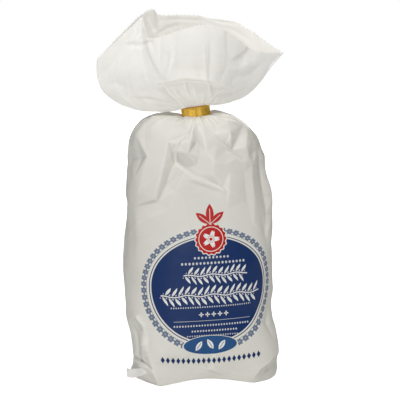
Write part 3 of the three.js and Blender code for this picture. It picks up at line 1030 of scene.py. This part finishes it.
printShape = {
    # the printed front in millimetres on the flat paper: across from the middle of the front, and up
    "tilt": 1.8,  # degrees
    "centre": (2.7, 81.4),
    "ringHalf": (53.4, 44.2, 51.6),  # to the sides, up and down
    "ringCount": 58,
    "flowerRadius": 2.8,
    "fieldHalf": (46.8, 38.2, 45.2),
    "thinLine": (1.5, 0.36),  # distance outside the field, and half width
    "sealCentre": (4.6, 118.3),
    "sealRadius": 11.9,
    "sealScallops": 18,
    "sprigFoot": (4.4, 130.2),
    "sprigLeaves": [(0, 8.0, 3.1), (50, 7.2, 2.8), (-50, 7.2, 2.8)],
    "lowOval": (1.5, 33.8),
    "lowOvalHalf": (21.3, 7.4),
    "garlands": [
        # height, start, pairs of leaves, pitch, a leaf's half width and half length, their reach, wave
        (90.0, -17.0, 10, 4.75, 1.12, 3.2, 3.7, 0.7),
        (73.9, -35.6, 15, 5.1, 1.22, 3.5, 4.0, 0.8)],
    "garlandLean": 0.62,
    "smallRows": [
        # height, from, to, pitch, half width, half height, strength
        (103.9, -10.0, 19.0, 2.9, 0.8, 0.95, 0.75), (99.5, -20.2, 32.0, 2.9, 0.85, 1.05, 0.75),
        (64.6, -29.4, 36.0, 1.9, 0.55, 0.65, 0.65), (49.8, -27.6, 33.8, 2.2, 0.66, 0.8, 0.7),
        (45.4, -13.6, 24.0, 2.2, 0.66, 0.8, 0.7), (41.6, -17.4, 24.6, 1.9, 0.52, 0.6, 0.65)],
    "rosettes": (58.6, -7.6, 17.4, 5.0, 1.95),  # height, from, to, pitch, radius
    "rule": (53.6, -27.0, 35.0, 0.17, 0.7),  # height, from, to, half width, strength
    "almonds": [(-9.2, -0.4, -125), (0, 0.6, -60), (9.2, -0.4, -125)],  # off the lower oval's middle, degrees
    "markRow": (21.0, -38.6, 42.6, 4.06, 1.65, 2.7, 0.0016),  # height, from, to, pitch, half sizes, bow
}

inkColours = {
    "navy": (0.003, 0.026, 0.120, 1),
    "mid": (0.012, 0.078, 0.228, 1),
    "grey": (0.155, 0.195, 0.28, 1),
    "red": (0.50, 0.012, 0.008, 1),
    "white": (0.82, 0.82, 0.80, 1),
}


def makePrintGroup():
    shape = printShape
    group, given, result = newGroup("frontPrint", {"Vector": "Vector", "Paper": "Color"},
                                    {"Color": "Color", "Ink": "Float"})
    split = addNode(group, "ShaderNodeSeparateXYZ", {"Vector": given.outputs["Vector"]})
    rawX, rawY = Wire(group, split.outputs[0]) * 1000, Wire(group, split.outputs[1]) * 1000
    tilt = math.radians(shape["tilt"])
    centreX, centreY = shape["centre"]
    offX, offY = rawX - centreX, rawY - centreY
    x = offX * math.cos(tilt) + offY * math.sin(tilt) + centreX
    y = offY * math.cos(tilt) - offX * math.sin(tilt) + centreY

    def ovalReach(middle, half):
        # place on an oval whose upper and lower halves may differ in height
        below = y.math("LESS_THAN", middle[1])
        heightShare = below * (1 / half[-1] - 1 / half[1]) + 1 / half[1]
        return (x - middle[0]) / half[0], (y - middle[1]) * heightShare

    def ovalDistance(middle, half):
        # roughly the distance outside the oval
        alongX, alongY = ovalReach(middle, half)
        return (alongX.reach(alongY) - 1) * (sum(half) / len(half))

    def leafShape(acrossLeaf, alongLeaf, halfWidth, halfLength):
        # an almond: negative inside
        bow = (alongLeaf / halfLength) * (alongLeaf / halfLength) * -1 + 1
        return acrossLeaf.absolute() - bow * halfWidth

    def betweenX(low, high):
        return ((x - (low + high) / 2).absolute() - (high - low) / 2).inside()

    def repeatX(low, pitch):
        # the place within a cell of a row, from -0.5 to 0.5
        return ((x - low) / pitch).math("FRACT") - 0.5

    def turnedAbout(place, degrees):
        c, s = math.cos(math.radians(degrees)), math.sin(math.radians(degrees))
        dx, dy = x - place[0], y - place[1]
        return dx * c + dy * s, dy * c - dx * s

    # ring of six-petalled flowers, with a dot between each two
    ringX, ringY = ovalReach(shape["centre"], shape["ringHalf"])
    ringRadius = sum(shape["ringHalf"]) / 3
    cell = ringY.math("ARCTAN2", ringX) * (shape["ringCount"] / (2 * math.pi))
    along = (cell.math("FRACT") - 0.5) * (2 * math.pi * ringRadius / shape["ringCount"])
    outward = (ringX.reach(ringY) - 1) * ringRadius
    spin = outward.math("ARCTAN2", along)
    radius = along.reach(outward)
    petals = (spin * 6).math("COSINE") * 0.13 + 0.87
    flowers = (radius - petals * shape["flowerRadius"]).inside(0.2).without((radius - 0.45).inside() * 0.6)
    between = along.absolute() * -1 + math.pi * ringRadius / shape["ringCount"]
    flowers = flowers.either((between.reach(outward + 2.2) - 0.55).inside(0.2) * 0.7)

    # navy field with its rims
    field = ovalDistance(shape["centre"], shape["fieldHalf"])
    navy = field.inside()
    thinLine = ((field - shape["thinLine"][0]).absolute() - shape["thinLine"][1]).inside()

    # two garlands: a waving stem with slanted leaves above and below it, and berries between them
    whites = []
    for level, low, pairs, pitch, halfWidth, halfLength, middle, wave in shape["garlands"]:
        rise = y - level - (x * (2 * math.pi / (pitch * 4))).math("SINE") * wave
        away = rise.absolute()
        under = rise.math("LESS_THAN", 0.0)
        place = (x - low - away * shape["garlandLean"]) / pitch + under * 0.5
        offLeaf = (place.math("FRACT") - 0.5) * pitch
        leaf = leafShape(offLeaf, away - middle, halfWidth, halfLength).inside(0.2)
        vein = (offLeaf.absolute() - 0.1).inside().both((away - middle - 0.4).inside())
        berryX = (offLeaf.absolute() * -1 + pitch / 2).absolute()
        berry = (berryX.reach(away - 1.6) - 0.5).inside(0.2)
        counted = ((place.math("FLOOR") - (pairs - 1) / 2).absolute() - pairs / 2).inside()
        stem = (away - 0.42).inside().both(betweenX(low - 1, low + (pairs + 0.6) * pitch))
        whites.append(leaf.without(vein * 0.6).either(berry).both(counted).either(stem))

    # rows of dots, a row of rosettes and a rule
    for level, low, high, pitch, halfWidth, halfHeight, strength in shape["smallRows"]:
        dot = (repeatX(low, pitch) * (pitch / halfWidth)).absolute().math("POWER", 2.0)
        dot = dot + ((y - level) / halfHeight).math("POWER", 2.0) - 1
        whites.append(dot.inside(0.3).both(betweenX(low, high)) * strength)
    level, low, high, pitch, reach = shape["rosettes"]
    acrossCell, upCell = repeatX(low, pitch) * pitch, y - level
    cellSpin = (upCell.math("ARCTAN2", acrossCell) * 4).math("COSINE") * 0.35 + 0.65
    rosette = acrossCell.reach(upCell)
    rosette = (rosette - cellSpin * reach).inside().without((rosette - 0.35).inside())
    whites.append(rosette.both(betweenX(low, high)))
    level, low, high, halfWidth, strength = shape["rule"]
    whites.append(((y - level).absolute() - halfWidth).inside().both(betweenX(low, high)) * strength)

    # lower oval with three pale almonds
    lowOval = ovalDistance(shape["lowOval"], shape["lowOvalHalf"])
    almonds = []
    for aside, above, degrees in shape["almonds"]:
        place = (shape["lowOval"][0] + aside, shape["lowOval"][1] + above)
        acrossLeaf, alongLeaf = turnedAbout(place, degrees)
        nut = leafShape(alongLeaf, acrossLeaf, 2.0, 4.6)
        vein = (alongLeaf.absolute() - 0.22).inside().both((acrossLeaf.absolute() - 3.0).inside())
        almonds.append(nut.inside().without(vein))

    # round scalloped seal with a five-petalled almond flower, and a sprig of three leaves over it
    sealX, sealY = x - shape["sealCentre"][0], y - shape["sealCentre"][1]
    sealRadius = sealX.reach(sealY)
    sealSpin = sealY.math("ARCTAN2", sealX)
    edge = (sealSpin * shape["sealScallops"]).math("COSINE") * 0.5 + shape["sealRadius"]
    seal = (sealRadius - edge).inside()
    sealRing = ((sealRadius - shape["sealRadius"] + 2.3).absolute() - 0.3).inside()
    petalEdge = (sealSpin * 5 + math.pi / 2).math("SINE") * 1.9 + 5.2
    notch = ((sealSpin * 5 + math.pi / 2).math("SINE") - 0.93).ranged(0, 0.07) * 1.1
    flower = (sealRadius - petalEdge + notch).inside()
    eye = (sealRadius - 1.25).inside()
    stamens = ((sealRadius - 2.5).absolute() - 0.35).inside().both((sealSpin * 15).math("SINE").inside(0.5))
    sealWhite = sealRing.either(flower.without(eye.either(stamens)))
    leaves = []
    for degrees, length, width in shape["sprigLeaves"]:
        acrossLeaf, alongLeaf = turnedAbout(shape["sprigFoot"], degrees)
        leaf = leafShape(acrossLeaf, alongLeaf - length, width, length)
        vein = (acrossLeaf.absolute() - 0.25).inside().both((alongLeaf - length * 1.5).inside())
        leaves.append(leaf.inside().without(vein))

    # row of small lozenges under the field, on a slight arc
    level, low, high, pitch, halfWidth, halfHeight, bow = shape["markRow"]
    drop = y - level - (x - centreX) * (x - centreX) * bow
    lozenge = (repeatX(low, pitch) * (pitch / halfWidth)).absolute() + (drop / halfHeight).absolute() - 1
    marks = lozenge.inside(0.1).both(betweenX(low, high))

    # the inks, one over the other, with a paper rim round the seal and round the lower oval
    rim = (sealRadius - edge - 0.9).inside().either((lowOval - 0.7).inside())
    flowers = flowers.without(rim)
    navyAll = anyOf([navy, thinLine, marks]).without(rim)
    oval = lowOval.inside()
    red = anyOf([seal, *leaves])
    colour = given.outputs["Paper"]
    for mask, ink in ((flowers, "grey"), (navyAll, "navy"), (anyOf(whites).both(navy).without(rim), "white"),
                      (oval, "mid"), (anyOf(almonds).both(oval), "white"), (red, "red"),
                      (sealWhite.both(seal), "white")):
        colour = mixColours(group, mask, colour, inkColours[ink])
    feed(group, result, {"Color": colour, "Ink": anyOf([flowers, navyAll, oval, red])})
    return group


paperGroup = makePaperGroup()
printGroup = makePrintGroup()

bodyPaper = {
    "colour": (0.77, 0.756, 0.698, 1),
    "shade": (0.64, 0.612, 0.53, 1),  # where the filling shows through a little
    "roughness": 0.46,
    "specular": 0.28,
    "bump": 0.10,
    "showThrough": 0.35,
    "paintedGlow": 0.0,  # painted glow: the paper emits light of its own colour, standing in for light a single sheet passes on from behind
}

crownPaper = {
    "colour": (0.80, 0.787, 0.747, 1),
    "shade": (0.75, 0.723, 0.645, 1),
    "roughness": 0.46,
    "specular": 0.28,
    "bump": 0.10,
    "showThrough": 0.3,
    # painted glow: the crown's paper and the seal end emit light of their own colour, in place of light
    # passed through the single sheet
    "paintedGlow": 0.17,
}


def paperMaterial(name, look, printed):
    material, tree, shader = newMaterial(name)
    place = addNode(tree, "ShaderNodeTexCoord").outputs["Object"]
    crease = addNode(tree, "ShaderNodeAttribute", attribute_name="crease").outputs["Fac"]
    grainAndShade = addNode(tree, "ShaderNodeGroup", {"Vector": place, "Fold": crease}, node_tree=paperGroup)
    share = noise(tree, place, 14.0).ranged(0.42, 0.72, 0.0, look["showThrough"])
    toned = mixColours(tree, share, look["colour"], look["shade"])
    # the tone from the group carries the painted shade and painted highlight of the folds
    channels = {channel: grainAndShade.outputs["Tone"] for channel in ("Red", "Green", "Blue")}
    tone = addNode(tree, "ShaderNodeCombineColor", channels)
    toned = mixColours(tree, 1.0, toned, tone.outputs[0], "MULTIPLY")
    roughness = Wire(tree, grainAndShade.outputs["Gloss"]) * 0.3 + look["roughness"]
    if printed:
        flat = addNode(tree, "ShaderNodeUVMap", uv_map="paper").outputs["UV"]
        front = addNode(tree, "ShaderNodeGroup", {"Vector": flat, "Paper": toned}, node_tree=printGroup)
        toned = front.outputs["Color"]
        roughness = roughness - Wire(tree, front.outputs["Ink"]) * 0.1
    # the emission is a painted glow, in place of light passing through the paper
    feed(tree, shader, {"Base Color": toned, "Roughness": roughness, "Specular IOR Level": look["specular"],
                        "Normal": creaseBump(tree, grainAndShade.outputs["Height"], look["bump"], 0.0006),
                        "Emission Color": toned, "Emission Strength": look["paintedGlow"]})
    return material


goldLook = {
    "colour": (0.93, 0.57, 0.07, 1),
    "dark": (0.46, 0.24, 0.02, 1),
    "roughness": 0.36,
    "metallic": 0.35,
    "ribScale": 600.0,
}


def goldMaterial():
    look = goldLook
    material, tree, shader = newMaterial("goldFoil")
    place = addNode(tree, "ShaderNodeTexCoord").outputs["Object"]
    flat = addNode(tree, "ShaderNodeUVMap", uv_map="paper").outputs["UV"]
    split = addNode(tree, "ShaderNodeSeparateXYZ", {"Vector": flat})
    edge = (Wire(tree, split.outputs[1]) * 1000).absolute().ranged(2.6, 4.0)
    blotch = noise(tree, place, 260.0)
    share = edge * 0.55 + blotch.ranged(0.35, 0.8, 0.0, 0.35)
    ribs = addNode(tree, "ShaderNodeTexWave", {"Vector": flat, "Scale": look["ribScale"], "Distortion": 1.5})
    feed(tree, shader, {"Base Color": mixColours(tree, share, look["colour"], look["dark"]),
                        "Roughness": blotch * 0.2 + (look["roughness"] - 0.1), "Metallic": look["metallic"],
                        "Normal": creaseBump(tree, ribs.outputs["Fac"], 0.2, 0.0001)})
    return material


def giveMaterial(piece, material):
    piece.data.materials.clear()
    piece.data.materials.append(material)


giveMaterial(bagBody, paperMaterial("bodyPaper", bodyPaper, True))
crownMaterial = paperMaterial("crownPaper", crownPaper, False)
giveMaterial(bagCrown, crownMaterial)
giveMaterial(sealEnd, crownMaterial)
giveMaterial(goldBand, goldMaterial())
print("materials made")

# studio: a white floor; a key and a fill high over the front, two weaker lights from low in front and from
# the left, and one behind

studio = {
    "floorSize": 6.0,
    "floorColour": (0.9, 0.9, 0.9, 1),
    "floorGlow": 0.08,
    "floorSeen": 0.98,
    "worldLight": 0.03,
    "worldSeen": 1.0,
    "target": (0, 0, 0.14),
    "lights": {
        # place, size and power
        "key": ((-0.1, -0.9, 1.8), 0.5, 13.5),
        "fill": ((0.5, -0.7, 1.9), 0.6, 6.4),
        "low": ((-0.2, -1.8, 0.4), 0.8, 7.2),
        "left": ((-1.7, -0.7, 0.8), 0.6, 5.5),
        "back": ((0.5, 1.8, 0.6), 0.8, 14.0),
    },
}


def addLight(name, place, size, power):
    data = bpy.data.lights.new(name, "AREA")
    data.size = size
    data.energy = power
    light = bpy.data.objects.new(name, data)
    bpy.context.scene.collection.objects.link(light)
    light.location = place
    light.rotation_euler = (Vector(place) - Vector(studio["target"])).to_track_quat("Z", "Y").to_euler()


def seenStrength(tree, lit, seen):
    # a surface that lights the scene less than the camera sees it
    fromCamera = Wire(tree, addNode(tree, "ShaderNodeLightPath").outputs["Is Camera Ray"])
    return fromCamera * (seen - lit) + lit


def makeStudio():
    for name, (place, size, power) in studio["lights"].items():
        addLight(name, place, size, power)
    sheet = bmesh.new()
    bmesh.ops.create_grid(sheet, x_segments=2, y_segments=2, size=studio["floorSize"] / 2)
    floor = addObject("floor", sheet)
    white = (1, 1, 1, 1)
    material, tree, shader = newMaterial("floorWhite")
    glow = seenStrength(tree, studio["floorGlow"], studio["floorSeen"])
    feed(tree, shader, {"Base Color": studio["floorColour"], "Roughness": 0.9, "Emission Color": white,
                        "Emission Strength": glow})
    giveMaterial(floor, material)
    world = bpy.data.worlds.new("studioWorld")
    bpy.context.scene.world = world
    world.use_nodes = True
    tree = world.node_tree
    light = seenStrength(tree, studio["worldLight"], studio["worldSeen"])
    feed(tree, tree.nodes["Background"], {"Color": white, "Strength": light})
    bpy.context.scene.view_settings.view_transform = "Standard"
    bpy.context.scene.view_settings.look = "None"


makeStudio()
print("studio lit")
